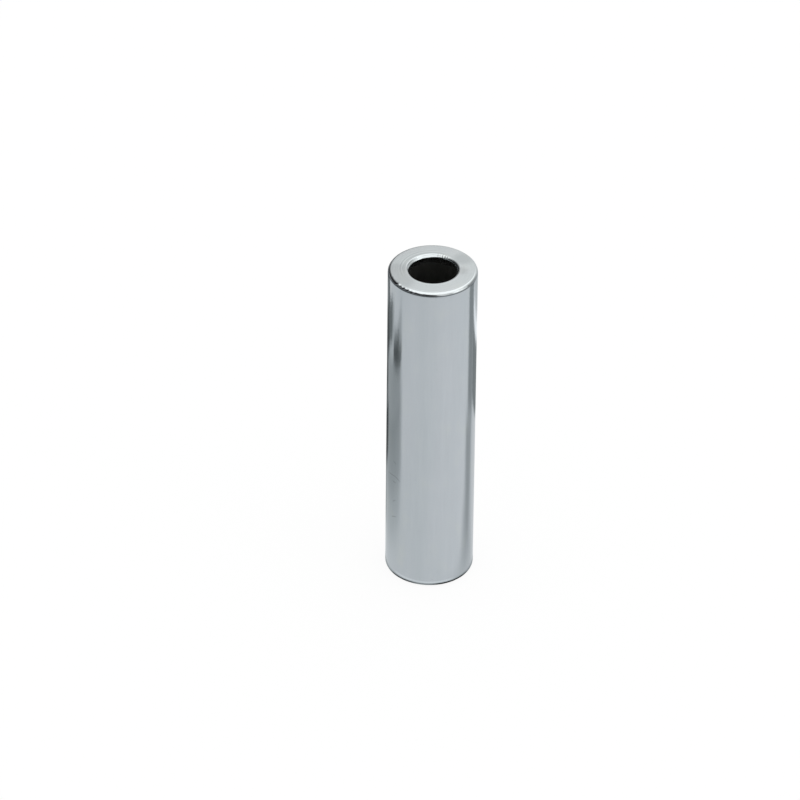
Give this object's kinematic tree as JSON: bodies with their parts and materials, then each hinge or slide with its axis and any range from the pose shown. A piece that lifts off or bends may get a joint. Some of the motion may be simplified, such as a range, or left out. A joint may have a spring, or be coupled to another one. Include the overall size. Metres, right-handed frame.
{
  "type": "spacer sleeve",
  "caption": "Round spacer sleeve, a turned tube with a plain through bore, flat square end faces and rounded edges, bright zinc-plated steel.",
  "frame": {"origin": "centre of the foot face, on the bore axis, where the sleeve stands", "axes": "+Z along the bore axis, from the foot face to the head face; the sleeve is round, so +X and +Y are free"},
  "size_m": [0.01, 0.01, 0.04],
  "materials": {
    "zinc_plate": "bright blue-white zinc plate on turned steel, satin, with fine turning rings on the end faces"
  },
  "bodies": {
    "root": {"sleeve": "zinc_plate"}
  },
  "joints": []
}
